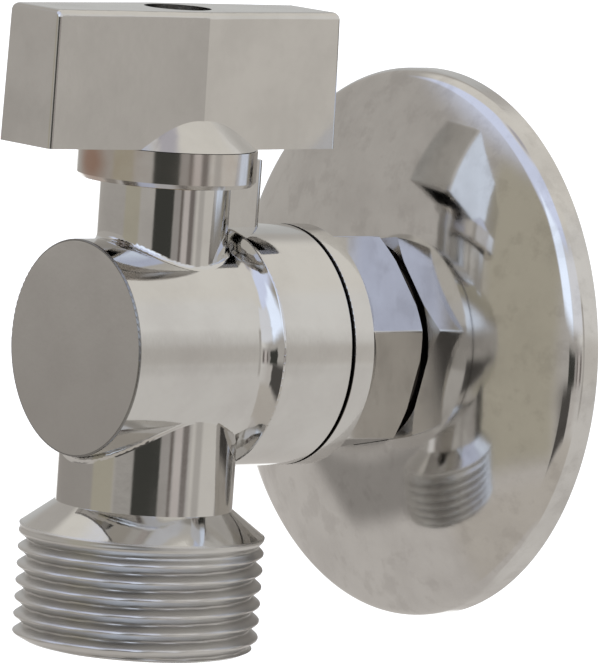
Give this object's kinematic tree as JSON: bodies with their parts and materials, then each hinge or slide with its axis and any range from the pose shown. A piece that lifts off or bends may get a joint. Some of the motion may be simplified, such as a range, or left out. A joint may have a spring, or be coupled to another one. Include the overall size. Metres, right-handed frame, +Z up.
{
  "type": "washing machine valve",
  "caption": "Quarter-turn angle valve with a bar handle, a hose thread pointing down, a hexagon inlet adapter and a domed wall plate.",
  "frame": {"origin": "on the inlet axis, in the plane of the wall where the wall plate's rim rests", "axes": "+Y into the wall along the inlet thread, +Z up along the stem to the handle, +X to the right for someone who faces the wall"},
  "size_m": [0.06, 0.066, 0.0687],
  "materials": {
    "chrome": "mirror chrome plating",
    "polished_ball": "polished plating",
    "brass": "turned",
    "steel": "zinc plated",
    "seat_plastic": "matt",
    "rubber": "matt"
  },
  "bodies": {
    "valve_body": {"body": "chrome", "inlet_adapter": "chrome", "adapter_o_ring": "rubber", "front_seat": "seat_plastic", "rear_seat": "seat_plastic", "thrust_washer": "seat_plastic", "wall_plate": "chrome"},
    "handle_set": {"handle": "chrome", "handle_screw": "steel", "spring_washer": "steel", "stop_ring": "chrome", "stem": "brass", "lower_stem_o_ring": "rubber", "upper_stem_o_ring": "rubber", "ball": "polished_ball"}
  },
  "joints": [
    {"name": "handle_turn", "type": "hinge", "parent": "valve_body", "child": "handle_set", "pos_m": [0, -0.0367, 0], "axis": [0, 0, -1], "range_deg": [0, 90]}
  ]
}
